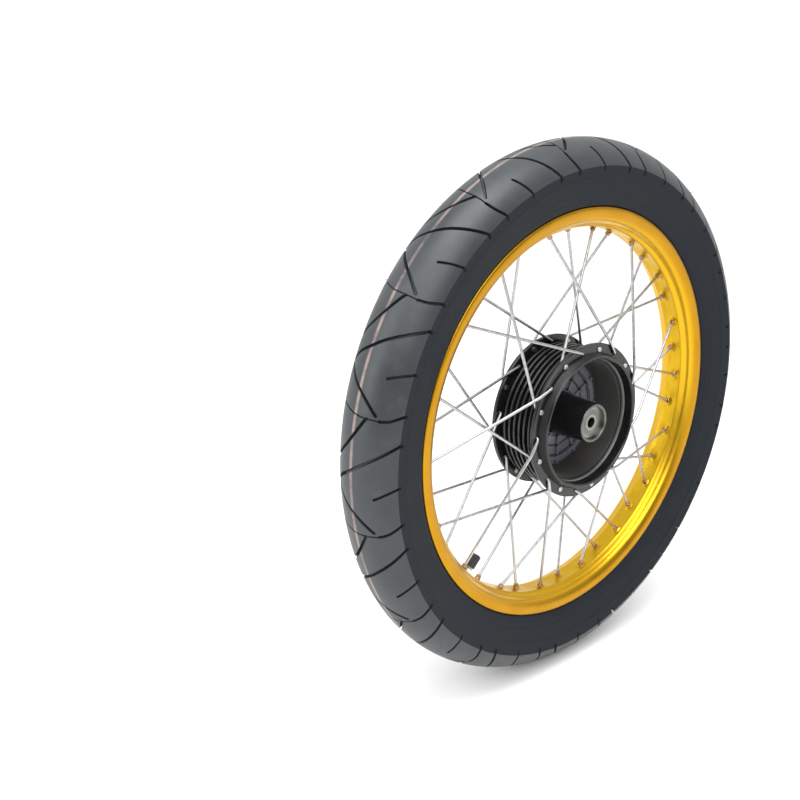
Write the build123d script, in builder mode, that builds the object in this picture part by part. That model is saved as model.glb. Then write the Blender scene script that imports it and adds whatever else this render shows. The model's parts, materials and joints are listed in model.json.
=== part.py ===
from build123d import *
import os
from math import asin, cos, degrees, radians, sin

# Spoked motorcycle wheel. The axle lies along Y through the origin, the wheel's mid plane is XZ,
# and the open brake drum faces -Y. Angles run from +X towards +Z. Millimetres and degrees.

# ---- tyre, tube and rim strip ----
crown_r = 40.6            # radius of the tyre's crown in section
crown_centre = 258.9      # radius at which that arc is centred
half_tread = 38.5         # half the tyre's width
tread_wall = 8.0
bead_half_gap = 12.5      # half the gap between the bead toes
tube_clearance = 0.4
tube_wall = 2.0
strip_inner_r = 214.2
strip_wall = 1.2
strip_half_width = 10.5

# ---- rim ----
rim_edge_r = 230.5        # top of the flanges
rim_half_width = 25.6
seat_r = 217.0            # bead seat
flange_half_gap = 20.3    # half the width between the flanges
well_r = 211.5            # bottom of the well, tyre side
spoke_face_r = 209.0      # bottom of the well, spoke side
well_half_width = 9.5

# ---- spokes and nipples ----
spoke_count = 36
spoke_r = 1.6
hole_circle_r = 80.2      # circle of the spoke holes in both hub flanges
spoke_hole_r = 2.1
cross_angle = 40.0        # a spoke runs about this far round between flange and rim
hub_turn = -1.4           # the hub sits this far round from where both crossings would be equal
first_near_nipple = 2.5
hole_pitch = 20            # angle between two spoke holes of one flange
first_near_hole = first_near_nipple + hub_turn
first_far_hole = first_near_hole + hole_pitch / 2
nipple_offset = 2.5       # nipples sit alternately to each side of the mid plane
elbow_r = 2.6
elbow_gap = 0.15
head_gap = 0.05
spoke_end_depth = 0.5     # a spoke ends this far beyond the rim's spoke side
brace_run = 17.0          # an outer spoke follows the flange this far, then bends inwards
brace_r = 20.0
spoke_head_r = 3.0
spoke_head_height = 1.4
nipple_body_r = 3.1
nipple_head_r = 4.2
nipple_bore_r = 1.65
nipple_reach = 4.4        # length showing on the spoke side of the rim
nipple_hole_r = 3.35
dimple_r = 5.2
dimple_height = 1.2
seat_depth = 1.0          # nipple seat above the rim's spoke side
seat_gap = 0.05
nipple_head_height = 1.8

# ---- hub and brake drum ----
flange_r = 87.2
flange_thickness = 4.5
near_flange_y = -33.0     # outer face of the flange on the drum side
far_flange_y = 27.0       # outer face of the flange on the closed side
barrel_r = 73.0
fin_r = 80.0
fin_thickness = 2.6
fin_places = (-19.5, -12.5, -5.5, 1.5, 8.5, 15.5)
lip_root_r = 77.2         # the drum's lip narrows from here to lip_r at its end
lip_r = 74.8
lip_mouth_r = 70.9
lip_y = -41.0
drum_r = 65.0
liner_wall = 4.0
liner_near_y = -27.0
floor_y = 8.0
closed_wall = 5.0
boss_end_r = 21.6
boss_root_r = 24.6
near_boss_y = -43.1
far_boss_y = 33.0
floor_rib_count = 12
back_rib_count = 9

# ---- bearings: 12 x 37 x 12 mm deep groove ----
bore_r = 6.0
bearing_r = 18.5
bearing_width = 12.0
inner_land_r = 9.6
outer_land_r = 14.9
pitch_r = 12.25
ball_r = 3.969
ball_count = 7
race_clearance = 0.03
near_bearing_y = -38.9    # outward faces of the two bearings
far_bearing_y = 29.0
spacer_r = 9.0

# ---- valve ----
valve_angle = 225.8
stem_r = 3.85
stem_bore_r = 2.3
stem_tip_r = 193.5
cap_tip_r = 186.6
cap_root_r = 201.8
cap_outer_r = 5.0
cap_bore_r = 3.95

os.makedirs("parts", exist_ok=True)


def save(part, name):
    part.label = name
    export_step(part, f"parts/{name}.step")


def wheel_point(radius, angle, y):
    return Vector(radius * cos(radians(angle)), y, radius * sin(radians(angle)))


def ring_section(inner, outer, y_low, y_high):
    """A rectangle in the XY plane, ready to be revolved about Y."""
    with Locations(((inner + outer) / 2, (y_low + y_high) / 2)):
        Rectangle(outer - inner, y_high - y_low)


# =====================================================================================
# Tyre: a hollow section open between its beads
# =====================================================================================
shoulder_angle = degrees(asin(half_tread / crown_r))
with BuildPart() as tyre:
    with BuildSketch(Plane.XY):
        with BuildLine() as tyre_half:
            crown = CenterArc((crown_centre, 0), crown_r, 0, shoulder_angle)
            sidewall = Line(crown @ 1, (233.0, 26.6))
            bead = Polyline(
                sidewall @ 1, (231.2, 24.8), (230.9, 23.4), (227.4, 20.6), (224.8, 20.1),
                (seat_r + 0.1, 20.1), (seat_r + 0.1, bead_half_gap), (222.5, 12.0), (236.0, 20.8),
            )
            cavity = CenterArc((crown_centre, 0), crown_r - tread_wall, 80, -80)
            Line(bead @ 1, cavity @ 0)
            mirror(about=Plane.XZ)
        make_face()
    revolve(axis=Axis.Y)
save(tyre.part, "tyre")

# =====================================================================================
# Inner tube: hollow, with a hole for the valve stem
# =====================================================================================
valve_plane = Plane(origin=wheel_point(spoke_face_r, valve_angle, 0),
        z_dir=wheel_point(1, valve_angle, 0))
tube_seat_r = strip_inner_r + strip_wall + tube_clearance
with BuildPart() as inner_tube:
    with BuildSketch(Plane.XY):
        with BuildLine():
            tube_crown = CenterArc((crown_centre, 0), crown_r - tread_wall - tube_clearance, 0, 80)
            Polyline(
                tube_crown @ 1, (236.4, 19.9), (222.6, 11.2), (219.0, 10.4), (tube_seat_r, 8.0),
                        (tube_seat_r, 0),
            )
            mirror(about=Plane.XZ)
        make_face()
        offset(amount=-tube_wall, mode=Mode.SUBTRACT)
    revolve(axis=Axis.Y)
    with Locations(valve_plane):
        Cylinder(stem_r + 0.1, 9.3, align=(Align.CENTER, Align.CENTER, Align.MIN), mode=Mode.SUBTRACT)
save(inner_tube.part, "inner_tube")

# =====================================================================================
# Rim strip: the band over the nipple heads
# =====================================================================================
with BuildPart() as rim_strip:
    with BuildSketch(Plane.XY):
        ring_section(strip_inner_r, strip_inner_r + strip_wall, -strip_half_width, strip_half_width)
    revolve(axis=Axis.Y)
    with Locations(valve_plane):
        Cylinder(stem_r + 0.3, 30, mode=Mode.SUBTRACT)
save(rim_strip.part, "rim_strip")


# =====================================================================================
# Spokes: four kinds, each repeated every 40 degrees
# =====================================================================================
def spoke_kind(first_nipple, turn, flange_face, outward, rim_y, braced):
    """Route of a spoke from its head, through the flange and round the elbow, to the nipple.

    outward is the direction in Y, -1 or +1, in which the shank leaves the flange.
    """
    hole_angle = first_nipple - turn + hub_turn
    head_y = flange_face - outward * flange_thickness
    shank_y = flange_face + outward * (spoke_r + elbow_gap)
    seat = wheel_point(hole_circle_r, hole_angle, head_y - outward * head_gap)
    elbow = wheel_point(hole_circle_r, hole_angle, shank_y)
    rim_end = wheel_point(spoke_face_r, first_nipple, rim_y)
    points = [seat, elbow]
    bends = [elbow_r]
    if braced:
        along_flange = (wheel_point(spoke_face_r, first_nipple, shank_y) - elbow).normalized()
        points.append(elbow + along_flange * brace_run)
        bends.append(brace_r)
    lean = (rim_end - points[-1]).normalized()
    points.append(rim_end + lean * spoke_end_depth)
    return {
        "points": points, "bends": bends, "outward": outward,
        "rim_end": rim_end, "lean": lean, "rim_angle": first_nipple,
    }


near_inner_y = near_flange_y + flange_thickness
far_inner_y = far_flange_y - flange_thickness
kinds = {
    "near_outer": spoke_kind(62.5, cross_angle, near_flange_y, -1, -nipple_offset, True),
    "near_inner": spoke_kind(2.5, -cross_angle, near_inner_y, 1, -nipple_offset, False),
    "far_inner": spoke_kind(52.5, cross_angle, far_inner_y, -1, nipple_offset, False),
    "far_outer": spoke_kind(-7.5, -cross_angle, far_flange_y, 1, nipple_offset, True),
}


def make_spoke(kind):
    points = kind["points"]
    with BuildPart() as spoke:
        with BuildLine() as route:
            FilletPolyline(*points, radius=kind["bends"])
        with BuildSketch(Plane(origin=points[0], z_dir=points[1] - points[0])):
            Circle(spoke_r)
        sweep(path=route.line)
        with BuildSketch(Plane(origin=points[0], z_dir=points[0] - points[1])):
            Circle(spoke_head_r)
        extrude(amount=spoke_head_height)
        head_face = spoke.faces().sort_by(Axis.Y)[-1 if kind["outward"] < 0 else 0]
        chamfer(head_face.edges(), length=0.5)
    return spoke.part


nipple_frames = {}
for name, kind in kinds.items():
    model_spoke = make_spoke(kind)
    for repeat in range(spoke_count // len(kinds)):
        turn = -40 * repeat
        rim_angle = (kind["rim_angle"] + 40 * repeat) % 360
        number = round((rim_angle - first_near_nipple) / 10) % spoke_count + 1
        save(model_spoke.rotate(Axis.Y, turn), f"spoke_{number:02d}")
        nipple_frames[number] = Plane(
            origin=kind["rim_end"].rotate(Axis.Y, turn), z_dir=kind["lean"].rotate(Axis.Y, turn)
        )
nipple_planes = [nipple_frames[number] for number in sorted(nipple_frames)]

# =====================================================================================
# Nipples: one turned piece, repeated at every spoke
# =====================================================================================
with BuildPart() as nipple:
    with BuildSketch(Plane.XY.offset(-nipple_reach)):
        Circle(nipple_body_r)
    extrude(amount=nipple_reach + seat_depth + seat_gap)
    with BuildSketch(Plane.XY.offset(seat_depth + seat_gap)):
        Circle(nipple_head_r)
    extrude(amount=nipple_head_height)
    chamfer(nipple.edges().group_by(Axis.Z)[-1], length=0.5)
    chamfer(nipple.edges().group_by(Axis.Z)[0], length=0.3)
    with BuildSketch(Plane.XY.offset(-nipple_reach)):
        Circle(nipple_bore_r)
    extrude(amount=nipple_reach + seat_depth, mode=Mode.SUBTRACT)
    with BuildSketch(Plane.XY.offset(seat_depth + seat_gap + nipple_head_height)):
        Rectangle(3 * nipple_head_r, 1.2)
    extrude(amount=-0.6, mode=Mode.SUBTRACT)
with BuildPart() as spoke_nipples:
    for frame in nipple_planes:
        add(nipple.part.moved(frame.location))
save(spoke_nipples.part, "spoke_nipples")

# =====================================================================================
# Rim: rolled section with a dimple and a seat for each nipple
# =====================================================================================
with BuildPart() as rim:
    with BuildSketch(Plane.XY):
        with BuildLine():
            spoke_side = Polyline(
                (spoke_face_r, 0), (spoke_face_r, well_half_width), (213.6, 14.2), (214.2, 19.6),
                (218.2, 23.3),
                (222.4, 24.9),
            )
            outer_curl = ThreePointArc(spoke_side @ 1, (227.2, rim_half_width), (230.0, 24.7))
            lip_top = ThreePointArc(outer_curl @ 1, (rim_edge_r, 24.0), (230.1, 23.4))
            Polyline(
                lip_top @ 1, (226.9, flange_half_gap + 0.4), (224.6, flange_half_gap),
                        (seat_r, flange_half_gap),
                (seat_r, 13.6), (well_r, well_half_width), (well_r, 0),
            )
            mirror(about=Plane.XZ)
        make_face()
    revolve(axis=Axis.Y)
    with Locations(*[frame.offset(-dimple_height) for frame in nipple_planes]):
        Cylinder(dimple_r, dimple_height + seat_depth, align=(Align.CENTER, Align.CENTER, Align.MIN))
    with Locations(*[frame.offset(seat_depth) for frame in nipple_planes]):
        Cylinder(nipple_head_r + 0.4, 7, align=(Align.CENTER, Align.CENTER, Align.MIN),
                mode=Mode.SUBTRACT)
    with Locations(*nipple_planes):
        Cylinder(nipple_hole_r, 12, mode=Mode.SUBTRACT)
    with Locations(valve_plane):
        Cylinder(stem_r + 0.3, 20, mode=Mode.SUBTRACT)
save(rim.part, "rim")

# =====================================================================================
# Hub shell: drum, finned barrel, two spoke flanges and the bearing bosses in one casting
# =====================================================================================
shell_bore_r = drum_r + liner_wall
back_y = floor_y + closed_wall
with BuildPart() as hub_shell:
    with BuildSketch(Plane.XY) as hub_section:
        with BuildLine():
            Polyline(
                (12, near_bearing_y + bearing_width + 3), (14, near_bearing_y + bearing_width),
                (bearing_r, near_bearing_y + bearing_width), (bearing_r, near_boss_y + 0.8),
                (bearing_r + 0.8, near_boss_y), (boss_end_r - 0.6, near_boss_y),
                (boss_end_r, near_boss_y + 0.6),
                (boss_root_r, floor_y), (shell_bore_r, floor_y), (shell_bore_r, liner_near_y - 2),
                (lip_mouth_r - 0.9, liner_near_y - 3.2), (lip_mouth_r, lip_y + 1.2),
                (lip_mouth_r + 1.2, lip_y), (lip_r - 1.2, lip_y), (lip_r, lip_y + 1.2),
                (lip_root_r, near_flange_y),
                (flange_r - 0.8, near_flange_y), (flange_r, near_flange_y + 0.8),
                (flange_r, near_inner_y - 0.8), (flange_r - 0.8, near_inner_y),
                (barrel_r + 4, near_inner_y), (barrel_r, near_inner_y + 2),
                (barrel_r, far_inner_y - 2), (barrel_r + 4, far_inner_y),
                (flange_r - 0.8, far_inner_y), (flange_r, far_inner_y + 0.8),
                (flange_r, far_flange_y - 0.8), (flange_r - 0.8, far_flange_y),
                (77.0, far_flange_y), (75.5, far_flange_y + 2), (69.5, far_flange_y + 2),
                (68.0, far_flange_y),
                (66.5, back_y), (28.5, back_y), (boss_end_r + 1, far_boss_y - 1),
                (boss_end_r, far_boss_y),
                (bearing_r + 0.8, far_boss_y), (bearing_r, far_boss_y - 0.8),
                (bearing_r, far_bearing_y - bearing_width), (14, far_bearing_y - bearing_width),
                (12, far_bearing_y - bearing_width - 3),
                close=True,
            )
        make_face()
    revolve(axis=Axis.Y)
    with BuildSketch(Plane.XY):
        for place in fin_places:
            ring_section(barrel_r - 1, fin_r, place - fin_thickness / 2, place + fin_thickness / 2)
    revolve(axis=Axis.Y)
    round_edges = hub_shell.edges().filter_by(GeomType.CIRCLE)
    chamfer(round_edges.filter_by(lambda edge: abs(edge.radius - fin_r) < 0.01), length=0.7)
    with BuildSketch(Plane.XZ.offset(-floor_y)):
        with PolarLocations(44, floor_rib_count):
            Rectangle(36, 3)
    extrude(amount=2.5)
    with BuildSketch(Plane.XZ.offset(-floor_y)):
        Circle(57)
        Circle(53, mode=Mode.SUBTRACT)
    extrude(amount=2.5)
    with BuildSketch(Plane.XZ.offset(-back_y)):
        with PolarLocations(46.5, back_rib_count):
            Rectangle(41, 4)
    extrude(amount=-7)
    with Locations(*[Plane(
            origin=wheel_point(hole_circle_r, first_near_hole + hole_pitch * n, near_flange_y),
            z_dir=(0, 1, 0))
                     for n in range(18)]):
        Cylinder(spoke_hole_r, 11, mode=Mode.SUBTRACT)
    with Locations(*[Plane(
            origin=wheel_point(hole_circle_r, first_far_hole + hole_pitch * n, far_flange_y),
            z_dir=(0, 1, 0))
                     for n in range(18)]):
        Cylinder(spoke_hole_r, 11, mode=Mode.SUBTRACT)
save(hub_shell.part, "hub_shell")

with BuildPart() as brake_liner:
    with BuildSketch(Plane.XY):
        ring_section(drum_r, shell_bore_r, liner_near_y, floor_y)
    revolve(axis=Axis.Y)
    mouth_face = brake_liner.faces().filter_by(GeomType.PLANE).sort_by(Axis.Y)[0]
    chamfer(mouth_face.edges().sort_by(lambda edge: edge.length)[0], length=1.0)
save(brake_liner.part, "brake_liner")

# =====================================================================================
# Bearings: made about the origin, then placed in each boss
# =====================================================================================
half_bearing = bearing_width / 2
inner_groove_r = pitch_r - ball_r - race_clearance
outer_groove_r = pitch_r + ball_r + race_clearance
groove_section_r = 1.04 * ball_r
shield_inner_r = inner_land_r + 0.35

with BuildPart() as inner_race:
    with BuildSketch(Plane.XY):
        ring_section(bore_r, inner_land_r, -half_bearing, half_bearing)
        with Locations((inner_groove_r + groove_section_r, 0)):
            Circle(groove_section_r, mode=Mode.SUBTRACT)
    revolve(axis=Axis.Y)

with BuildPart() as outer_race:
    with BuildSketch(Plane.XY):
        ring_section(outer_land_r, bearing_r, -half_bearing, half_bearing)
        with Locations((outer_groove_r - groove_section_r, 0)):
            Circle(groove_section_r, mode=Mode.SUBTRACT)
    revolve(axis=Axis.Y)

with BuildPart() as balls:
    with Locations(*[wheel_point(pitch_r, 360 * n / ball_count, 0) for n in range(ball_count)]):
        Sphere(ball_r)

with BuildPart() as cage:
    with BuildSketch(Plane.XY):
        ring_section(11.4, 13.1, -4.8, 4.8)
    revolve(axis=Axis.Y)
    with Locations(*[wheel_point(pitch_r, 360 * n / ball_count, 0) for n in range(ball_count)]):
        Sphere(ball_r + 0.06, mode=Mode.SUBTRACT)

with BuildPart() as shields:
    with BuildSketch(Plane.XY):
        for side in (-5.5, 5.5):
            ring_section(shield_inner_r, outer_land_r, side - 0.2, side + 0.2)
    revolve(axis=Axis.Y)

bearing_centres = {
    "drum_side": near_bearing_y + half_bearing,
    "closed_side": far_bearing_y - half_bearing,
}
bearing_pieces = {
    "inner_race": inner_race, "outer_race": outer_race, "balls": balls, "cage": cage, "shields": shields,
}
for side, centre_y in bearing_centres.items():
    for piece_name, piece in bearing_pieces.items():
        save(piece.part.moved(Location((0, centre_y, 0))), f"bearing_{side}_{piece_name}")

with BuildPart() as spacer_tube:
    with BuildSketch(Plane.XY):
        ring_section(bore_r, spacer_r, near_bearing_y + bearing_width, far_bearing_y - bearing_width)
    revolve(axis=Axis.Y)
save(spacer_tube.part, "spacer_tube")

with BuildPart() as dust_seal:
    with BuildSketch(Plane.XY):
        ring_section(10.6, bearing_r, far_bearing_y + 0.2, far_boss_y - 0.6)
        ring_section(9.2, 11.0, far_bearing_y + 1.4, far_bearing_y + 2.4)
    revolve(axis=Axis.Y)
save(dust_seal.part, "dust_seal")

# =====================================================================================
# Valve: every piece is turned about the valve plane's normal, which points away from the axle
# =====================================================================================
def on_valve(radius):
    return valve_plane.offset(radius - spoke_face_r)


tube_inside_r = tube_seat_r + tube_wall
with BuildPart() as valve_stem:
    with BuildSketch(on_valve(stem_tip_r)):
        Circle(stem_r)
    extrude(amount=tube_inside_r + 1.5 - stem_tip_r)
    with BuildSketch(on_valve(tube_inside_r + 0.2)):
        Circle(7)
    extrude(amount=1.3)
    with BuildSketch(on_valve(stem_tip_r)):
        Circle(stem_bore_r)
    extrude(amount=30, mode=Mode.SUBTRACT)
save(valve_stem.part, "valve_stem")

with BuildPart() as valve_nut:
    with BuildSketch(on_valve(spoke_face_r - 4.4)):
        RegularPolygon(6.4, 6)
        Circle(stem_r + 0.1, mode=Mode.SUBTRACT)
    extrude(amount=4.2)
save(valve_nut.part, "valve_nut")

with BuildPart() as valve_core:
    with BuildSketch(on_valve(stem_tip_r + 1.5)):
        Circle(stem_bore_r - 0.05)
        Circle(0.9, mode=Mode.SUBTRACT)
    extrude(amount=16)
save(valve_core.part, "valve_core")

with BuildPart() as valve_pin:
    with BuildSketch(on_valve(stem_tip_r + 0.2)):
        Circle(0.75)
    extrude(amount=17.9)
    with BuildSketch(on_valve(stem_tip_r + 17.6)):
        Circle(1.9)
    extrude(amount=1.6)
save(valve_pin.part, "valve_pin")

with BuildPart() as valve_cap:
    with BuildSketch(on_valve(cap_tip_r)):
        Circle(cap_outer_r)
    extrude(amount=cap_root_r - cap_tip_r)
    fillet(valve_cap.faces().sort_by(lambda face: face.center().length)[0].edges(), radius=1.6)
    with BuildSketch(on_valve(stem_tip_r - 0.6)):
        Circle(cap_bore_r)
    extrude(amount=12, mode=Mode.SUBTRACT)
save(valve_cap.part, "valve_cap")
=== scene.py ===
import json
from math import asin, atan2, cos, degrees, pi, radians, sin

import bmesh
import bpy
import numpy as np
from mathutils import Matrix, Vector
from mathutils.geometry import delaunay_2d_cdt


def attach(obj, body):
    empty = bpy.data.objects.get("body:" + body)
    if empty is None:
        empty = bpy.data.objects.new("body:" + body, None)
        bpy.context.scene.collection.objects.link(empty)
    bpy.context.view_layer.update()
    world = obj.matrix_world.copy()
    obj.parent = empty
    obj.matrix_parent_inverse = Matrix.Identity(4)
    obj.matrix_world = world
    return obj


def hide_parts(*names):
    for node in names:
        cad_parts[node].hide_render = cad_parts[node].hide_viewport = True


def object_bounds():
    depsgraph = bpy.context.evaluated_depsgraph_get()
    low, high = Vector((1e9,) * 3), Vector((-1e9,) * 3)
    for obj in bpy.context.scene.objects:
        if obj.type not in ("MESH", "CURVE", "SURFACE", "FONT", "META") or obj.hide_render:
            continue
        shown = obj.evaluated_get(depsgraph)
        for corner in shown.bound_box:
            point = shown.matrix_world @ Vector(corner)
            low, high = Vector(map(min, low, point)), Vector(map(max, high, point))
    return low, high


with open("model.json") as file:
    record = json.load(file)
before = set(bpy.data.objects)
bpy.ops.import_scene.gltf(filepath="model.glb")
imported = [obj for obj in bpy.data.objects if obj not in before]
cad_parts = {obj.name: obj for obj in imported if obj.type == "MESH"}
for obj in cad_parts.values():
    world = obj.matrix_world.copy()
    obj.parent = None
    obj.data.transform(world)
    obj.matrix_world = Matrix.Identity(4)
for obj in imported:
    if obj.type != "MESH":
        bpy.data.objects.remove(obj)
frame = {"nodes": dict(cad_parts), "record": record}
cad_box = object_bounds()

# Sizes are in millimetres and are turned into metres where meshes are made. The axle is Y, the
# brake drum faces -Y, and angles run from +X towards +Z.
MM = 0.001
node_objects = frame["nodes"]


# =====================================================================================
# Materials: every one is built from nodes on object coordinates, which are metres
# =====================================================================================
class Surface:
    """A material whose nodes are added one at a time."""

    def __init__(self, name):
        self.material = bpy.data.materials.new(name)
        self.material.use_nodes = True
        self.tree = self.material.node_tree
        self.shader = self.tree.nodes["Principled BSDF"]
        self.place = self.tree.nodes.new("ShaderNodeTexCoord").outputs["Object"]

    def put(self, socket, value):
        if isinstance(value, bpy.types.NodeSocket):
            self.tree.links.new(value, socket)
        else:
            socket.default_value = value

    def node(self, kind, inputs=(), **settings):
        made = self.tree.nodes.new("ShaderNode" + kind)
        for key, value in settings.items():
            setattr(made, key, value)
        for key, value in dict(inputs).items():
            self.put(made.inputs[key], value)
        return made

    def math(self, operation, first, second=0.0):
        return self.node("Math", {0: first, 1: second}, operation=operation).outputs[0]

    def noise(self, scale, detail=2.0, roughness=0.5, vector=None):
        inputs = {"Vector": vector or self.place, "Scale": scale, "Detail": detail, "Roughness": roughness}
        return self.node("TexNoise", inputs).outputs["Fac"]

    def remap(self, value, low, high, to_low=0.0, to_high=1.0):
        inputs = {"Value": value, "From Min": low, "From Max": high, "To Min": to_low, "To Max": to_high}
        return self.node("MapRange", inputs).outputs["Result"]

    def above(self, value, level, edge):
        """1 where a value is above a level and 0 where it is below, across a soft edge."""
        return self.remap(value, level - edge / 2, level + edge / 2)

    def below(self, value, level, edge):
        return self.remap(value, level + edge / 2, level - edge / 2)

    def all_of(self, first, *others):
        """1 only where every mask is 1."""
        mask = first
        for other in others:
            mask = self.math("MULTIPLY", mask, other)
        return mask

    def mix(self, factor, first, second):
        made = self.node("Mix", data_type="RGBA")
        self.put(made.inputs["Factor"], factor)
        self.put(made.inputs[6], first)
        self.put(made.inputs[7], second)
        return made.outputs[2]

    def axes(self):
        return self.node("SeparateXYZ", {0: self.place}).outputs

    def wheel_radius(self):
        """Distance from the axle."""
        x, y, z = self.axes()
        squares = self.math("ADD", self.math("MULTIPLY", x, x), self.math("MULTIPLY", z, z))
        return self.math("SQRT", squares)

    def bump(self, height, distance, strength=1.0, under=None):
        inputs = {"Height": height, "Distance": distance, "Strength": strength}
        if under is not None:
            inputs["Normal"] = under
        return self.node("Bump", inputs).outputs["Normal"]

    def set(self, **values):
        for key, value in values.items():
            self.put(self.shader.inputs[key.replace("_", " ")], value)
        return self.material


def colour(red, green, blue):
    return (red, green, blue, 1.0)


def tread_rubber():
    s = Surface("tread_rubber")
    cloud = s.noise(14.0, 3.0)
    grime = s.noise(60.0, 5.0, 0.65)
    base = s.mix(s.remap(cloud, 0.35, 0.68), colour(0.019, 0.023, 0.026), colour(0.029, 0.035, 0.039))
    base = s.mix(s.remap(grime, 0.55, 0.8, 0.0, 0.4), base, colour(0.070, 0.073, 0.072))
    # a thin factory stripe round the crown, worn away in places
    near_stripe = s.math("ABSOLUTE", s.math("ADD", s.axes()[1], 0.0034))
    stripe = s.remap(near_stripe, 0.0012, 0.0022, 1.0, 0.0)
    on_crown = s.remap(s.wheel_radius(), 0.2982, 0.2988)
    worn = s.remap(s.noise(30.0, 4.0, 0.7), 0.36, 0.56, 0.15, 1.0)
    shown = s.all_of(stripe, on_crown, worn)
    base = s.mix(s.math("MULTIPLY", shown, 0.5), base, colour(0.44, 0.31, 0.28))
    rough = s.remap(grime, 0.3, 0.75, 0.38, 0.52)
    fine = s.bump(s.noise(900.0, 3.0), 0.00006, 0.5)
    normal = s.bump(s.noise(110.0, 2.0), 0.0003, 0.25, under=fine)
    return s.set(Base_Color=base, Roughness=rough, Normal=normal, Specular_IOR_Level=0.55)


def sidewall_rubber():
    s = Surface("sidewall_rubber")
    cloud = s.noise(20.0, 4.0, 0.6)
    base = s.mix(s.remap(cloud, 0.35, 0.7), colour(0.0065, 0.0088, 0.0130), colour(0.0105, 0.0138, 0.0195))
    rings = s.math("SINE", s.math("MULTIPLY", s.wheel_radius(), 5200.0))
    ring_bump = s.bump(rings, 0.00002, 0.1)
    normal = s.bump(s.noise(700.0, 4.0), 0.00008, 0.6, under=ring_bump)
    return s.set(
        Base_Color=base, Roughness=s.remap(cloud, 0.3, 0.7, 0.56, 0.70),
        Normal=normal, Specular_IOR_Level=0.22,
    )


def anodised_gold():
    s = Surface("anodised_gold")
    cloud = s.noise(30.0, 3.0)
    # painted light and shade: the flange sides, beyond 20.5 to 24 mm from the middle, are painted a darker
    # orange for the shade they reflect, and the slope is painted lighter than the well
    side = s.mix(s.remap(cloud, 0.3, 0.7), colour(0.48, 0.235, 0.010), colour(0.54, 0.275, 0.014))
    across = s.math("ABSOLUTE", s.axes()[1])
    well_and_lit_slope = s.mix(s.remap(across, 0.0085, 0.0125), colour(0.58, 0.35, 0.017), colour(0.68, 0.40, 0.020))
    base = s.mix(s.remap(across, 0.0205, 0.0240), well_and_lit_slope, side)
    stretched = s.node("CombineXYZ", {
        0: s.math("MULTIPLY", s.wheel_radius(), 2600.0),
        1: s.math("MULTIPLY", s.axes()[1], 2600.0),
    })
    lines = s.noise(1.0, 3.0, 0.6, vector=stretched.outputs[0])
    normal = s.bump(lines, 0.00001, 0.12)
    rough = s.remap(s.noise(60.0, 3.0), 0.3, 0.7, 0.30, 0.35)
    return s.set(Base_Color=base, Metallic=1.0, Roughness=rough, Normal=normal)


def spoke_steel():
    s = Surface("spoke_steel")
    spangle = s.noise(260.0, 3.0, 0.6)
    base = s.mix(s.remap(spangle, 0.35, 0.7), colour(0.40, 0.40, 0.41), colour(0.58, 0.58, 0.59))
    normal = s.bump(s.noise(900.0, 2.0), 0.00003, 0.3)
    rough = s.remap(spangle, 0.3, 0.7, 0.26, 0.42)
    return s.set(Base_Color=base, Metallic=1.0, Roughness=rough, Normal=normal)


def nipple_steel():
    s = Surface("nipple_steel")
    patches = s.noise(420.0, 4.0, 0.6)
    base = s.mix(s.remap(patches, 0.35, 0.7), colour(0.26, 0.13, 0.065), colour(0.56, 0.38, 0.25))
    return s.set(Base_Color=base, Metallic=1.0, Roughness=s.remap(patches, 0.3, 0.7, 0.16, 0.3))


# Where the hub's surface changes, in metres
near_boss_face = -0.0426
far_boss_face = 0.0325
boss_r = 0.0220
bearing_seat_r = 0.0188
step_near_y, step_far_y, step_inner_r, step_outer_r = -0.0304, -0.0268, 0.0685, 0.0713
floor_near_y, floor_far_y, floor_inner_r, floor_outer_r = 0.0051, 0.0090, 0.02545, 0.0650
lip_far_y, lip_inner_r, lip_outer_r = -0.0330, 0.0750, 0.0775
soft_edge = 0.0004
sharp_edge = 0.0002


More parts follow.
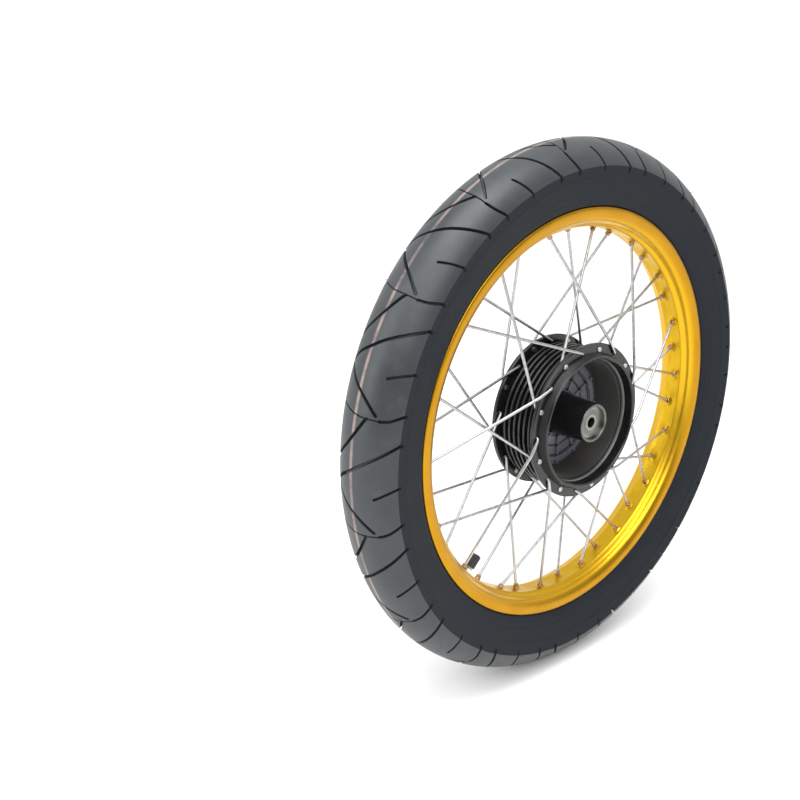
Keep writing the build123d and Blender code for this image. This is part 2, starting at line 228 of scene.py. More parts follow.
def hub_paint():
    """Gloss black paint over a casting, which is bare on the drum's floor and where it is machined, with
    painted shade as dark rings on the floor.
    """
    s = Surface("hub_paint")
    y = s.axes()[1]
    radius = s.wheel_radius()
    cloud = s.noise(40.0, 4.0, 0.6)
    paint = s.mix(s.remap(cloud, 0.3, 0.7), colour(0.006, 0.006, 0.007), colour(0.012, 0.012, 0.013))
    near_end = s.below(y, near_boss_face, soft_edge)
    far_end = s.above(y, far_boss_face, soft_edge)
    boss_ends = s.math("MAXIMUM", near_end, far_end)
    ends = s.all_of(boss_ends, s.below(radius, boss_r, sharp_edge))
    bare = s.math("MAXIMUM", ends, s.below(radius, bearing_seat_r, sharp_edge))
    metal = s.mix(s.noise(300.0, 3.0), colour(0.11, 0.11, 0.10), colour(0.19, 0.19, 0.17))
    # the step round the drum's mouth is a thin turned line, and the drum's floor is left as cast
    step = s.all_of(
        s.above(y, step_near_y, soft_edge), s.below(y, step_far_y, soft_edge),
        s.above(radius, step_inner_r, sharp_edge), s.below(radius, step_outer_r, soft_edge),
    )
    inside = s.all_of(
        s.above(y, floor_near_y, soft_edge), s.below(y, floor_far_y, soft_edge),
        s.above(radius, floor_inner_r, 0.75 * soft_edge), s.below(radius, floor_outer_r, soft_edge),
    )
    cast_floor_and_groove_shade = s.mix(s.noise(120.0, 4.0), colour(0.120, 0.118, 0.138), colour(0.210, 0.207, 0.235))
    # painted shade: dark rings on the drum's floor stand in for the shade in its grooves
    rings = s.math("SINE", s.math("MULTIPLY", radius, 520.0))
    cast_floor_and_groove_shade = s.mix(s.remap(rings, 0.72, 0.82, 0.0, 0.8), cast_floor_and_groove_shade, colour(0.020, 0.020, 0.026))
    base = s.mix(bare, paint, metal)
    base = s.mix(s.math("MULTIPLY", step, 0.8), base, colour(0.15, 0.145, 0.135))
    base = s.mix(inside, base, cast_floor_and_groove_shade)
    fine_rings = s.math("SINE", s.math("MULTIPLY", radius, 9000.0))
    turned = s.bump(s.math("MULTIPLY", fine_rings, bare), 0.00003, 0.5)
    cast = s.bump(s.noise(90.0, 2.0, 0.5), 0.00018, 0.2, under=turned)
    # the outside of the drum's lip is duller, so it doesn't mirror the rim
    lip = s.all_of(
        s.below(y, lip_far_y, soft_edge),
        s.above(radius, lip_inner_r, sharp_edge), s.below(radius, lip_outer_r, sharp_edge),
    )
    rough = s.math("ADD", s.remap(cloud, 0.3, 0.7, 0.16, 0.24), s.math("MULTIPLY", lip, 0.25))
    return s.set(Base_Color=base, Metallic=bare, Roughness=rough, Normal=cast, Specular_IOR_Level=0.5)


def liner_iron():
    s = Surface("liner_iron")
    y = s.axes()[1]
    stretched = s.node("CombineXYZ", {0: s.math("MULTIPLY", y, 2400.0)})
    lines = s.noise(1.0, 4.0, 0.7, vector=stretched.outputs[0])
    base = s.mix(s.noise(35.0, 4.0), colour(0.055, 0.054, 0.050), colour(0.090, 0.087, 0.080))
    # painted shade: the liner's chamfered front edge, beyond y -25.6 mm, is painted near black so it shows
    # no highlight
    base = s.mix(s.remap(y, -0.0256, -0.0260), base, colour(0.020, 0.020, 0.020))
    normal = s.bump(lines, 0.00003, 0.5)
    rough = s.remap(lines, 0.3, 0.7, 0.42, 0.56)
    return s.set(Base_Color=base, Metallic=0.3, Roughness=rough, Normal=normal)


def ground_steel():
    s = Surface("ground_steel")
    stretched = s.node("CombineXYZ", {0: s.math("MULTIPLY", s.wheel_radius(), 5000.0)})
    rings = s.noise(1.0, 3.0, 0.6, vector=stretched.outputs[0])
    base = s.mix(rings, colour(0.22, 0.22, 0.20), colour(0.34, 0.34, 0.31))
    return s.set(Base_Color=base, Metallic=1.0, Roughness=s.remap(rings, 0.3, 0.7, 0.28, 0.40),
                 Normal=s.bump(rings, 0.00002, 0.5))


def pressed_steel():
    s = Surface("pressed_steel")
    base = s.mix(s.noise(220.0, 3.0), colour(0.16, 0.16, 0.145), colour(0.25, 0.25, 0.23))
    return s.set(Base_Color=base, Metallic=1.0, Roughness=s.remap(s.noise(500.0), 0.3, 0.7, 0.34, 0.48))


def soft_rubber():
    s = Surface("soft_rubber")
    base = s.mix(s.noise(90.0, 4.0), colour(0.016, 0.016, 0.017), colour(0.030, 0.030, 0.031))
    return s.set(Base_Color=base, Roughness=0.6, Normal=s.bump(s.noise(1200.0, 3.0), 0.00005, 0.5))


def plated_brass():
    s = Surface("plated_brass")
    base = s.mix(s.noise(350.0, 4.0), colour(0.58, 0.56, 0.52), colour(0.80, 0.79, 0.76))
    return s.set(Base_Color=base, Metallic=1.0, Roughness=s.remap(s.noise(500.0), 0.3, 0.7, 0.2, 0.36))


def cap_plastic():
    s = Surface("cap_plastic")
    base = s.mix(s.noise(300.0, 3.0), colour(0.010, 0.010, 0.011), colour(0.020, 0.020, 0.021))
    return s.set(Base_Color=base, Roughness=0.42, Normal=s.bump(s.noise(1500.0, 2.0), 0.00004, 0.4))


surfaces = {
    "tyre_rubber": sidewall_rubber(), "tube_rubber": soft_rubber(), "rim_anodised": anodised_gold(),
    "spoke_steel": spoke_steel(), "nipple_steel": nipple_steel(), "hub_paint": hub_paint(),
    "liner_iron": liner_iron(), "bearing_steel": ground_steel(), "cage_steel": pressed_steel(),
    "seal_rubber": soft_rubber(), "valve_metal": plated_brass(), "cap_plastic": cap_plastic(),
}
tread_surface = tread_rubber()

for entry in frame["record"]["subparts"]:
    holder = node_objects[entry["node"]]
    if not holder.material_slots:
        holder.data.materials.append(None)
    for place in holder.material_slots:
        place.material = surfaces[entry["material_slot"]]


# =====================================================================================
# Mesh helpers
# =====================================================================================
def add_object(name, mesh, body, slot, *replaced):
    piece = bpy.data.objects.new(name, mesh)
    bpy.context.scene.collection.objects.link(piece)
    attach(piece, body)
    if replaced:
        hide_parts(*replaced)


def tidy_normals(mesh, sharp=None):
    """Turns every face outwards, and shades smooth between faces flatter than sharp degrees."""
    work = bmesh.new()
    work.from_mesh(mesh)
    bmesh.ops.recalc_face_normals(work, faces=work.faces)
    work.to_mesh(mesh)
    work.free()
    mesh.shade_smooth()
    if sharp is not None:
        mesh.set_sharp_from_angle(angle=radians(sharp))


def on_wheel(radius, theta, y):
    """A point in metres from its distance to the axle and its y in millimetres, and its angle."""
    return (radius * cos(theta) * MM, y * MM, radius * sin(theta) * MM)


def loop_faces(rows, columns):
    """Quads of a grid that closes on itself both ways."""
    faces = []
    for row in range(rows):
        for column in range(columns):
            across = (column + 1) % columns
            up = (row + 1) % rows
            faces.append((row * columns + column, row * columns + across,
                          up * columns + across, up * columns + column))
    return faces


def lathe(outline, segments, frame_matrix, flatten=None):
    """Turns an outline of (radius, height) points about local Z, and closes it flat at both ends."""
    points, faces = [], []
    for radius, height in outline:
        for step in range(segments):
            angle = 2 * pi * step / segments
            reach = radius if flatten is None else flatten(radius, height, angle)
            points.append(frame_matrix @ Vector((reach * cos(angle), reach * sin(angle), height)))
    for row in range(len(outline) - 1):
        for step in range(segments):
            after = (step + 1) % segments
            faces.append((row * segments + step, row * segments + after,
                          (row + 1) * segments + after, (row + 1) * segments + step))
    faces.append(tuple(range(segments)))
    last = (len(outline) - 1) * segments
    faces.append(tuple(last + step for step in reversed(range(segments))))
    return points, faces


def joined_mesh(name, pieces_list, material, sharp=40):
    points, faces = [], []
    for piece_points, piece_faces in pieces_list:
        start = len(points)
        points += [tuple(p) for p in piece_points]
        faces += [tuple(start + i for i in face) for face in piece_faces]
    mesh = bpy.data.meshes.new(name)
    mesh.from_pydata(points, [], faces)
    mesh.materials.append(material)
    tidy_normals(mesh, sharp)
    return mesh


# =====================================================================================
# Tyre: a tread cut with grooves, joined to its sidewalls, beads and inner wall
# =====================================================================================
crown_r = 40.6
crown_centre = 258.9
tyre_r = crown_centre + crown_r
half_tread = 38.5
tread_edge = crown_r * asin(half_tread / crown_r)     # arc from the crown's middle to the tread's edge
pitch_count = 16
pitch = 2 * pi * tyre_r / pitch_count
first_pitch = radians(149.9)

# The grooves of one pitch of the pattern. Each has a centre line, a width and a depth. A centre
# line's points are a distance round the tyre and an arc from the middle, positive to the drum side.
beyond_edge = tread_edge + 3
grooves = [
    ([(-2, beyond_edge), (10.5, 34.6), (21, 17.4), (32, 0), (39, -13), (50, -26)], 3.4, 4.8),
    ([(141, -beyond_edge), (142.5, -38), (141.5, -25.5), (131, -12), (120.5, -1.5), (108.5, 7.5),
      (95.5, 16)], 3.4, 4.8),
    ([(91, 24.6), (78, 11.4), (64.5, -5), (52.5, -18.6), (50, -26)], 3.4, 4.8),
    ([(86, beyond_edge), (93.5, 39), (95.5, 29)], 3.2, 4.6),
    ([(55, -beyond_edge), (47.5, -39), (46.0, -31), (50, -26)], 3.2, 4.6),
    ([(44, beyond_edge), (50, 39), (55, 28)], 2.9, 3.8),
    ([(97, -beyond_edge), (91, -39), (86, -28)], 2.9, 3.8),
    ([(95.5, 29), (95.3, 22), (95, 14), (94, 4), (91.5, -5), (87.6, -17), (86.4, -32)], 1.7, 2.2),
]
wall_slope = 0.45      # how far a groove's wall leans in from its edge to its floor
tread_columns = 30
tread_rows = 28
clear_of_groove = 0.9  # the tread's own grid keeps this far from a groove's edge
wall_drop = 0.8        # a triangle whose corners' depths differ by more is part of a groove's wall
overlap = 5            # a groove that ends this far outside a pitch still belongs to it
round_corner = 0.7071  # cosine of 45 degrees
on_land, on_groove_wall, on_side, on_seam = range(4)


def smooth_line(points, steps=4):
    """A Catmull-Rom curve through the points."""
    ends = [points[0]] + list(points) + [points[-1]]
    line = []
    for before, start, end, after in zip(ends, ends[1:], ends[2:], ends[3:]):
        for step in range(steps):
            t = step / steps
            line.append(tuple(
                0.5 * (2 * start[i] + (end[i] - before[i]) * t
                       + (2 * before[i] - 5 * start[i] + 4 * end[i] - after[i]) * t ** 2
                       + (3 * start[i] - before[i] - 3 * end[i] + after[i]) * t ** 3)
                for i in (0, 1)
            ))
    return np.array(line + [points[-1]])


def band_outline(line, half_width):
    """The outline of a band about a line, with rounded ends."""
    along = np.gradient(line, axis=0)
    along /= np.linalg.norm(along, axis=1)[:, None]
    side = np.stack([-along[:, 1], along[:, 0]], axis=1) * half_width
    tip = line[-1] + along[-1] * half_width
    tail = line[0] - along[0] * half_width
    reach = half_width * round_corner
    round_tip = [line[-1] + (along[-1] + way * side[-1] / half_width) * reach for way in (1, -1)]
    round_tail = [line[0] + (-along[0] + way * side[0] / half_width) * reach for way in (-1, 1)]
    outline = list(line + side) + [round_tip[0], tip, round_tip[1]] + list((line - side)[::-1])
    return outline + [round_tail[0], tail, round_tail[1]]


def distance_to_line(points, line):
    best = np.full(len(points), np.inf)
    for start, end in zip(line[:-1], line[1:]):
        step = end - start
        share = np.clip(((points - start) @ step) / (step @ step), 0, 1)
        best = np.minimum(best, np.linalg.norm(points - start - share[:, None] * step, axis=1))
    return best


def tread_pitch():
    """One pitch of the tread, as flat points, their depths, triangles, and each triangle's kind."""
    lines = []
    for points, width, depth in grooves:
        line = smooth_line(points)
        for shift in (-2, -1, 0, 1):
            moved = line + np.array([shift * pitch, 0.0])
            if moved[:, 0].max() > -overlap and moved[:, 0].min() < pitch + overlap:
                lines.append((moved, width / 2, depth))
    spots, outlines = [], []

    def add_outline(outline):
        first = len(spots)
        spots.extend(tuple(p) for p in outline)
        outlines.append(list(range(first, len(spots))))

    for line, half, depth in lines:
        add_outline(band_outline(line, half))
        add_outline(band_outline(line, half - wall_slope))
    for column in range(tread_columns + 1):
        for row in range(tread_rows + 1):
            spot = np.array([pitch * column / tread_columns, tread_edge * (2 * row / tread_rows - 1)])
            on_border = column in (0, tread_columns) or row in (0, tread_rows)
            gaps = [abs(distance_to_line(spot[None], line)[0] - half) for line, half, _ in lines]
            if on_border or min(gaps) > clear_of_groove:
                spots.append(tuple(spot))
    corners = [(0.0, -tread_edge), (pitch, -tread_edge), (pitch, tread_edge), (0.0, tread_edge)]
    first = len(spots)
    spots.extend(corners)
    edges = [(first + i, first + (i + 1) % 4) for i in range(4)]
    divided = delaunay_2d_cdt([Vector(p) for p in spots], edges, outlines, 0, 1e-4, True)
    flat = np.array([tuple(p) for p in divided[0]])
    triangles = divided[2]
    depth_at = np.zeros(len(flat))
    for line, half, depth in lines:
        share = np.clip((half - distance_to_line(flat, line)) / wall_slope, 0, 1)
        depth_at = np.maximum(depth_at, share * depth)
    kept, kinds = [], []
    for triangle in triangles:
        middle = flat[list(triangle)].mean(axis=0)
        if not (0 < middle[0] < pitch and abs(middle[1]) < tread_edge):
            continue
        depths = depth_at[list(triangle)]
        kept.append(tuple(triangle))
        kinds.append(on_groove_wall if depths.max() - depths.min() > wall_drop else on_land)
    used = sorted({i for triangle in kept for i in triangle})
    renumber = {old: new for new, old in enumerate(used)}
    kept = [tuple(renumber[i] for i in triangle) for triangle in kept]
    return flat[used], depth_at[used], kept, kinds


def tyre_profile():
    """(radius, y) from the tread's drum-side edge round the inside to its other edge."""
    edge = (crown_centre + crown_r * cos(tread_edge / crown_r), -half_tread)
    foot = (233.0, -26.6)

    def sidewall(share, proud=0.0):
        """A point a share of the way down the bulging wall, raised where a moulded band stands proud."""
        bulge = sin(pi * share)
        radius = edge[0] + (foot[0] - edge[0]) * share
        return (radius, edge[1] + (foot[1] - edge[1]) * share - bulge - proud)

    half = [sidewall(0.14), sidewall(0.26), sidewall(0.28, 0.35), sidewall(0.31, 0.35), sidewall(0.33)]
    half += [sidewall(share) for share in (0.45, 0.57, 0.66)]
    half += [sidewall(0.69, 0.25), sidewall(0.73, 0.25), sidewall(0.76), sidewall(0.82), sidewall(0.84, 0.3)]
    half += [sidewall(0.88, 0.3), sidewall(0.91), (234.2, -27.0), (233.0, -26.4), (232.0, -25.4)]
    half += [(231.2, -24.4), (230.9, -23.2), (227.4, -20.4), (224.8, -20.0), (217.2, -20.0)]
    half += [(217.2, -12.5), (222.5, -12.0), (236.0, -20.8)]
    inner_r = crown_r - 8.0
    for lean in (80, 60, 40, 20):
        half.append((crown_centre + inner_r * cos(radians(lean)), -inner_r * sin(radians(lean))))
    middle = [(crown_centre + inner_r, 0.0)]
    return half + middle + [(radius, -y) for radius, y in reversed(half)]


def outward(profile, at_start, at_end):
    """Normals of a profile line, as (radial, axial) pairs."""
    line = np.array([at_start] + profile + [at_end])
    along = np.gradient(line, axis=0)[1:-1]
    along /= np.linalg.norm(along, axis=1)[:, None]
    return np.stack([-along[:, 1], along[:, 0]], axis=1)


def make_tyre():
    flat, depth, triangles, kinds = tread_pitch()
    at_start = np.where(flat[:, 0] < 1e-3)[0]
    at_end = np.where(flat[:, 0] > pitch - 1e-3)[0]
    partner = {e: at_start[np.argmin(abs(flat[at_start, 1] - flat[e, 1]))] for e in at_end}
    inside = [i for i in range(len(flat)) if i not in partner]
    place = {old: new for new, old in enumerate(inside)}
    per_pitch = len(inside)

    points, tread_normals = [], []
    for repeat in range(pitch_count):
        for i in inside:
            theta = first_pitch + (flat[i, 0] + repeat * pitch) / tyre_r
            lean = flat[i, 1] / crown_r
            reach = crown_r - depth[i]
            points.append(on_wheel(crown_centre + reach * cos(lean), theta, -reach * sin(lean)))
            tread_normals.append((cos(lean) * cos(theta), -sin(lean), cos(lean) * sin(theta)))

    def number(i, repeat):
        if i in partner:
            return ((repeat + 1) % pitch_count) * per_pitch + place[partner[i]]
        return repeat * per_pitch + place[i]

    faces, face_kinds = [], []
    for repeat in range(pitch_count):
        for triangle, kind in zip(triangles, kinds):
            faces.append(tuple(number(i, repeat) for i in triangle))
            face_kinds.append(kind)

    # the rest of the section hangs on the tread's two edges, column by column
    def edge_columns(side):
        found = [i for i in inside if abs(flat[i, 1] - side * tread_edge) < 1e-3]
        found.sort(key=lambda i: flat[i, 0])
        return [
            (number(i, repeat), flat[i, 0] + repeat * pitch)
            for repeat in range(pitch_count) for i in found
        ]

    near, far = edge_columns(1), edge_columns(-1)
    profile = tyre_profile()
    half_rows = len(profile) // 2
    edge = (crown_centre + crown_r * cos(tread_edge / crown_r), half_tread)
    slopes = outward(profile, (edge[0], -edge[1]), edge)
    side_normals = {}

    def add_rows(columns, rows):
        """Rows of points under one tread edge, hung from the edge itself; returns the numbers of the last
        row.
        """
        numbers = [[n for n, _ in columns]]
        for row in rows:
            radius, y = profile[row]
            numbers.append([])
            for _, distance in columns:
                theta = first_pitch + distance / tyre_r
                out, along = slopes[row]
                side_normals[len(points)] = (out * cos(theta), along, out * sin(theta))
                numbers[-1].append(len(points))
                points.append(on_wheel(radius, theta, y))
        for upper, lower in zip(numbers, numbers[1:]):
            for step in range(len(columns)):
                after = (step + 1) % len(columns)
                faces.append((upper[step], upper[after], lower[after], lower[step]))
                face_kinds.append(on_side)
        for n, under in zip(numbers[0], numbers[1]):
            side_normals[n] = side_normals[under]
        return numbers[-1]

    near_last = add_rows(near, range(0, half_rows + 1))
    far_last = add_rows(far, range(len(profile) - 1, half_rows + 1, -1))
    # the two sheets meet on the inside of the crown
    stitch(points, faces, face_kinds, near_last, far_last)

    mesh = bpy.data.meshes.new("tyre_treaded")
    mesh.from_pydata(points, [], faces)
    mesh.materials.append(surfaces["tyre_rubber"])
    mesh.materials.append(tread_surface)
    mesh.attributes.new("kind", "INT", "FACE").data.foreach_set("value", face_kinds)
    for polygon, kind in zip(mesh.polygons, face_kinds):
        polygon.material_index = 0 if kind == on_side else 1
    tidy_normals(mesh)
    kinds_now = [entry.value for entry in mesh.attributes["kind"].data]
    corner_normals = []
    for polygon, kind in zip(mesh.polygons, kinds_now):
        for vertex in polygon.vertices:
            if kind == on_land and vertex < len(tread_normals):
                corner_normals.append(tread_normals[vertex])
            elif kind == on_side and vertex in side_normals:
                corner_normals.append(side_normals[vertex])
            else:
                corner_normals.append(tuple(polygon.normal))
    mesh.normals_split_custom_set(corner_normals)
    mesh.attributes.remove(mesh.attributes["kind"])
    add_object("tyre_treaded", mesh, "wheel", "tyre_rubber", "tyre")


def stitch(points, faces, face_kinds, first, second):
    """Joins two rings with different spacing by triangles, walking round both by angle."""
    def angle(n):
        return (atan2(points[n][2], points[n][0]) - first_pitch) % (2 * pi)

    def next_angle(ring, n):
        """A ring that is used up comes after every angle."""
        return angle(ring[n + 1]) if n + 1 < len(ring) else 2 * pi + (n + 1 - len(ring)) * 9

    first = sorted(first, key=angle)
    second = sorted(second, key=angle)
    i = j = 0
    while i < len(first) or j < len(second):
        here, there = first[i % len(first)], second[j % len(second)]
        if i < len(first) and (j >= len(second) or next_angle(first, i) <= next_angle(second, j)):
            faces.append((here, first[(i + 1) % len(first)], there))
            i += 1
        else:
            faces.append((here, second[(j + 1) % len(second)], there))
            j += 1
        face_kinds.append(on_seam)


make_tyre()


# =====================================================================================
# Rim: the CAD section with rounded corners, a pad pressed up at each spoke and dips between
# =====================================================================================
spoke_count = 36
first_nipple = 2.5
nipple_offset = 2.5
well_r = 209.0
well_row = 0.65        # spacing of the points across half of the well
well_rows = 13
columns_per_spoke = 30
pad_height = 1.3
dip_depth = 0.35
valve_angle = radians(225.8)
valve_hole_r = 4.6
valve_out = Vector((cos(valve_angle), 0.0, sin(valve_angle)))


def rim_profile():
    """(radius, y) round the whole section, spoke side first."""
    half = [(well_r, well_row * step) for step in range(well_rows)]
    half += [(208.9, 8.5), (208.8, 9.2), (208.9, 9.9), (209.3, 10.7), (210.0, 11.6), (210.9, 12.5)]
    half += [(211.8, 13.4), (212.6, 14.3), (213.2, 15.3), (213.6, 16.4), (213.9, 17.6), (214.3, 18.8)]
    half += [(214.9, 20.0), (215.8, 21.2), (216.9, 22.2), (218.2, 23.0), (219.8, 23.8)]
    half += [(221.8, 24.6), (224.2, 25.2), (226.8, 25.55), (228.6, 25.5), (229.7, 25.1), (230.35, 24.5)]
    half += [(230.45, 23.95), (230.1, 23.45), (228.6, 22.2), (226.9, 20.9), (224.6, 20.35), (217.0, 20.3)]
    half += [(217.0, 13.6), (211.5, 9.5), (211.5, 4.5), (211.5, 0.0)]
    far_side = half[:-1]
    near_side = [(radius, -y) for radius, y in reversed(half[1:])]
    return far_side + near_side


def smooth_step(value, low, high):
    share = np.clip((value - low) / (high - low), 0, 1)
    return share * share * (3 - 2 * share)


def well_relief(theta, y):
    """How far the spoke side of the well stands towards the axle, in millimetres."""
    spacing = 360 / spoke_count
    angle = degrees(theta) - first_nipple
    number = round(angle / spacing)
    round_way = radians(angle - number * spacing) * well_r
    nipple_y = -nipple_offset if number % 2 == 0 else nipple_offset
    pad_distance = ((round_way / 6.8) ** 2 + ((y - nipple_y) / 5.6) ** 2) ** 0.5
    pad = pad_height * (1 - smooth_step(pad_distance, 0.45, 1.25)) * (1 - smooth_step(abs(y), 6.6, 8.4))
    between = abs(radians(spacing) * well_r / 2 - abs(round_way))
    dip = dip_depth * (1 - smooth_step(between, 5.0, 9.5)) * (1 - smooth_step(abs(y), 4.2, 6.6))
    return float(pad - dip)


def make_rim():
    profile = rim_profile()
    columns = spoke_count * columns_per_spoke
    points = []
    for radius, y in profile:
        for column in range(columns):
            theta = 2 * pi * column / columns
            relief = well_relief(theta, y) if radius == well_r else 0.0
            points.append(on_wheel(radius - relief, theta, y))
    # the valve's stem passes through both walls of the well, under its nut
    faces = []
    for face in loop_faces(len(profile), columns):
        centre = sum((Vector(points[corner]) for corner in face), Vector()) / len(face)
        aside = (centre - valve_out * centre.dot(valve_out)).length / MM
        if aside > valve_hole_r or centre.dot(valve_out) < 0:
            faces.append(face)
    mesh = bpy.data.meshes.new("rim_dimpled")
    mesh.from_pydata(points, [], faces)
    mesh.materials.append(surfaces["rim_anodised"])
    tidy_normals(mesh, 50)
    add_object("rim_dimpled", mesh, "wheel", "rim_anodised", "rim")


make_rim()


# =====================================================================================
# Nipples: turned bodies with a squared drive, one at the end of each spoke
# =====================================================================================
spoke_end_height = 1.6      # the corners of a spoke's outer end all lie within this of its tip
drive_foot = -4.7
drive_top = -1.9
drive_half_width = 2.45
seat_depth = 0.9            # a nipple's seat lies this far inside the spoke's outer end


def spoke_ends():
    """The centre of each spoke's threaded end and the direction it points in, in metres."""
    ends = []
    for number in range(1, spoke_count + 1):
        mesh = node_objects[f"spoke_{number:02d}"].data
        corners = np.array([v.co for v in mesh.vertices])
        reach = np.hypot(corners[:, 0], corners[:, 2])
        cap = corners[reach > reach.max() - spoke_end_height * MM]
        middle = (cap.max(axis=0) + cap.min(axis=0)) / 2
        normal = np.linalg.svd(cap - cap.mean(axis=0))[2][2]
        if normal @ middle < 0:
            normal = -normal
        ends.append((Vector(middle), Vector(normal)))
    return ends


def squared(radius, height, angle):
    """Flattens four sides of the nipple between its collar and its tip."""
    if not drive_foot < height < drive_top:
        return radius
    flat = drive_half_width / max(abs(cos(angle)), abs(sin(angle)))
    return min(radius, flat)


def make_nipples():
    outline = [(1.62, -5.3), (2.1, -5.2), (2.35, -4.9), (2.9, -4.68), (3.0, -3.2), (3.0, -1.92)]
    outline += [(3.0, -1.7), (3.35, -1.4), (3.35, -0.4), (3.1, 0.2), (3.1, 2.2), (4.2, 2.4), (4.2, 4.0)]
    made = []
    for middle, normal in spoke_ends():
        turn = normal.to_track_quat("Z", "X").to_matrix().to_4x4()
        seat = Matrix.Translation(middle - normal * seat_depth * MM) @ turn @ Matrix.Scale(MM, 4)
        made.append(lathe(outline, 24, seat, squared))
    mesh = joined_mesh("spoke_nipples_turned", made, surfaces["nipple_steel"], 35)
    add_object("spoke_nipples_turned", mesh, "wheel", "nipple_steel", "spoke_nipples")


make_nipples()


# =====================================================================================
# Valve: ribbed cap and threaded stem
# =====================================================================================
valve_frame = valve_out.to_track_quat("Z", "Y").to_matrix().to_4x4() @ Matrix.Scale(MM, 4)


cap_rib_count = 20
cap_rib_depth = 0.28
cap_rib_foot = 188.2
cap_rib_top = 201.0
cap_wall_r = 4.5
thread_turns = 28
thread_pitch = 0.8
thread_root_r = 3.45
thread_r = 3.84
stem_tip = 193.6


def ribbed(radius, height, angle):
    """Cuts grooves into the outside of the cap, along its length."""
    if radius < cap_wall_r or not cap_rib_foot < height < cap_rib_top:
        return radius
    return radius - cap_rib_depth * (0.5 + 0.5 * cos(cap_rib_count * angle)) ** 2


def make_valve():
    cap = [(3.3, 186.6), (4.2, 186.85), (4.8, 187.5), (5.0, 188.3), (5.0, 190), (5.0, 194), (5.0, 198)]
    cap += [(5.0, 201.0), (4.9, 201.6), (4.6, 201.8), (3.95, 201.8), (3.95, 193.0)]
    turned_cap = lathe(cap, 120, valve_frame, ribbed)
    mesh = joined_mesh("valve_cap_ribbed", [turned_cap], surfaces["cap_plastic"], 40)
    add_object("valve_cap_ribbed", mesh, "valve_cap", "cap_plastic", "valve_cap")
    stem = [(2.3, stem_tip), (3.3, stem_tip)]
    for turn in range(thread_turns):
        root = stem_tip + 0.3 + thread_pitch * turn
        stem += [(thread_root_r, root), (thread_r, root + thread_pitch / 2)]
    stem += [(thread_r, 218.9), (7.0, 218.9), (7.0, 219.9), (2.3, 219.9)]
    turned_stem = lathe(stem, 40, valve_frame)
    mesh = joined_mesh("valve_stem_threaded", [turned_stem], surfaces["valve_metal"], 30)
    add_object("valve_stem_threaded", mesh, "wheel", "valve_metal", "valve_stem")


make_valve()


# =====================================================================================
# Moulding hairs: thin rubber pips left by the mould's vents, along the tread's edges
# =====================================================================================
hairs_per_side = 18
hair_root = 0.6        # a hair starts this far under the rubber
hair_tilt = 0.35
hair_lengths = (1.2, 3.2)


def make_hairs():
    draw = np.random.default_rng(7)
    made = []
    for side in (-1, 1):
        for step in range(hairs_per_side):
            theta = 2 * pi * (step + draw.uniform(0.0, 1.0)) / hairs_per_side
            arc = side * draw.choice([tread_edge - 2.0, tread_edge * 0.62])
            lean = arc / crown_r
            out = Vector((cos(lean) * cos(theta), -sin(lean), cos(lean) * sin(theta)))
            reach = crown_r - hair_root
            root = Vector(on_wheel(crown_centre + reach * cos(lean), theta, -reach * sin(lean)))
            tilt = Vector(draw.uniform(-hair_tilt, hair_tilt, 3))
            turn = (out + tilt).normalized().to_track_quat("Z", "X").to_matrix().to_4x4()
            length = draw.uniform(*hair_lengths)
            outline = [(0.32, 0.0), (0.26, hair_root + length * 0.5), (0.16, hair_root + length)]
            made.append(lathe(outline, 8, Matrix.Translation(root) @ turn @ Matrix.Scale(MM, 4)))
    mesh = joined_mesh("tyre_vent_hairs", made, tread_surface, 60)
    add_object("tyre_vent_hairs", mesh, "wheel", "tyre_rubber")


make_hairs()

# =====================================================================================
# Floor, light and camera
# =====================================================================================
floor_half_width = 12.0


def floor_paper():
    s = Surface("floor_paper")
    base = s.mix(s.noise(6.0, 2.0), colour(0.89, 0.89, 0.89), colour(0.91, 0.91, 0.91))
    return s.set(Base_Color=base, Roughness=0.8, Specular_IOR_Level=0.2)


def make_floor():
    mesh = bpy.data.meshes.new("floor")
    lowest = cad_box[0][2]
    reach = floor_half_width
    corners = [(x * reach, y * reach, lowest) for x, y in ((-1, -1), (1, -1), (1, 1), (-1, 1))]
    mesh.from_pydata(corners, [], [(0, 1, 2, 3)])
    mesh.materials.append(floor_paper())
    floor = bpy.data.objects.new("floor", mesh)
    bpy.context.scene.collection.objects.link(floor)


def area_light(name, place, size, power):
    """A rectangular light aimed at the axle's middle."""
    data = bpy.data.lights.new(name, "AREA")
    data.shape = "RECTANGLE"
    data.size, data.size_y = size
    data.energy = power
    lamp = bpy.data.objects.new(name, data)
    lamp.location = place
    lamp.rotation_euler = (-Vector(place)).to_track_quat("-Z", "Y").to_euler()
    bpy.context.scene.collection.objects.link(lamp)


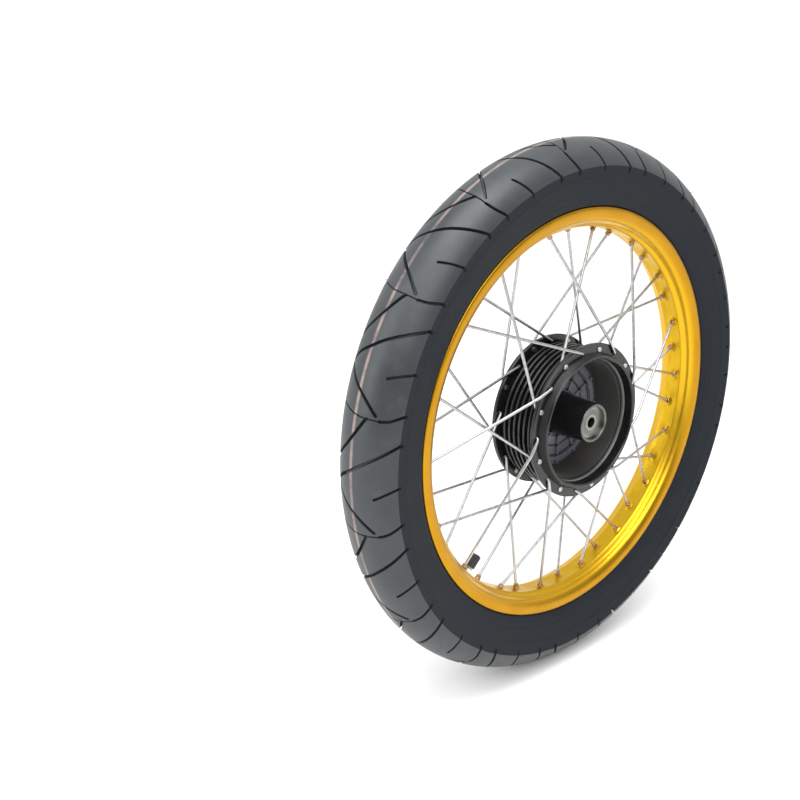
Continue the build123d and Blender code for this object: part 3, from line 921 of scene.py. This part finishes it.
def make_light():
    world = bpy.data.worlds.new("studio")
    world.use_nodes = True
    nodes, links = world.node_tree.nodes, world.node_tree.links
    # a white backdrop beyond the wheel, and a dimmer room on the side it is seen from
    direction = nodes.new("ShaderNodeTexCoord").outputs["Generated"]
    towards = nodes.new("ShaderNodeVectorMath")
    towards.operation = "DOT_PRODUCT"
    links.new(direction, towards.inputs[0])
    towards.inputs[1].default_value = (0.20, 0.92, 0.10)
    strength = nodes.new("ShaderNodeMapRange")
    links.new(towards.outputs["Value"], strength.inputs["Value"])
    for key, value in {"From Min": -0.7, "From Max": 0.1, "To Min": 0.34, "To Max": 1.12}.items():
        strength.inputs[key].default_value = value
    nodes["Background"].inputs["Color"].default_value = (1.0, 1.0, 1.0, 1.0)
    links.new(strength.outputs["Result"], nodes["Background"].inputs["Strength"])
    bpy.context.scene.world = world
    sky = bpy.data.lights.new("soft_sky", "SUN")
    sky.energy = 1.4
    sky.angle = radians(60)
    sky_lamp = bpy.data.objects.new("soft_sky", sky)
    sky_lamp.rotation_euler = Vector((-0.35, -0.5, 1.0)).to_track_quat("Z", "Y").to_euler()
    bpy.context.scene.collection.objects.link(sky_lamp)
    area_light("overhead", (-0.3, -0.35, 1.7), (1.2, 0.8), 17.0)
    area_light("left", (-1.7, 0.4, 0.7), (0.8, 1.6), 12.0)
    area_light("front", (-0.9, -1.7, 1.5), (1.6, 1.3), 12.0)
    view = bpy.context.scene.view_settings
    view.view_transform = "Standard"


def make_camera():
    """The photograph's view: from the drum side, left of the axle and a little above."""
    azimuth, elevation, distance = radians(-39.24), radians(17.68), 0.97996
    shift_right, shift_up = -0.1844, 0.01545
    back = Vector((sin(azimuth) * cos(elevation), -cos(azimuth) * cos(elevation), sin(elevation)))
    right = Vector((cos(azimuth), sin(azimuth), 0.0))
    up = back.cross(right)
    data = bpy.data.cameras.new("camera")
    data.sensor_width = 36.0
    data.lens = 39.13
    data.clip_start = 0.01
    camera = bpy.data.objects.new("camera", data)
    turn = Matrix((right, up, back)).transposed().to_4x4()
    camera.matrix_world = Matrix.Translation(back * distance + right * shift_right + up * shift_up) @ turn
    bpy.context.scene.collection.objects.link(camera)
    bpy.context.scene.camera = camera


make_floor()
make_light()
make_camera()

bpy.context.view_layer.update()
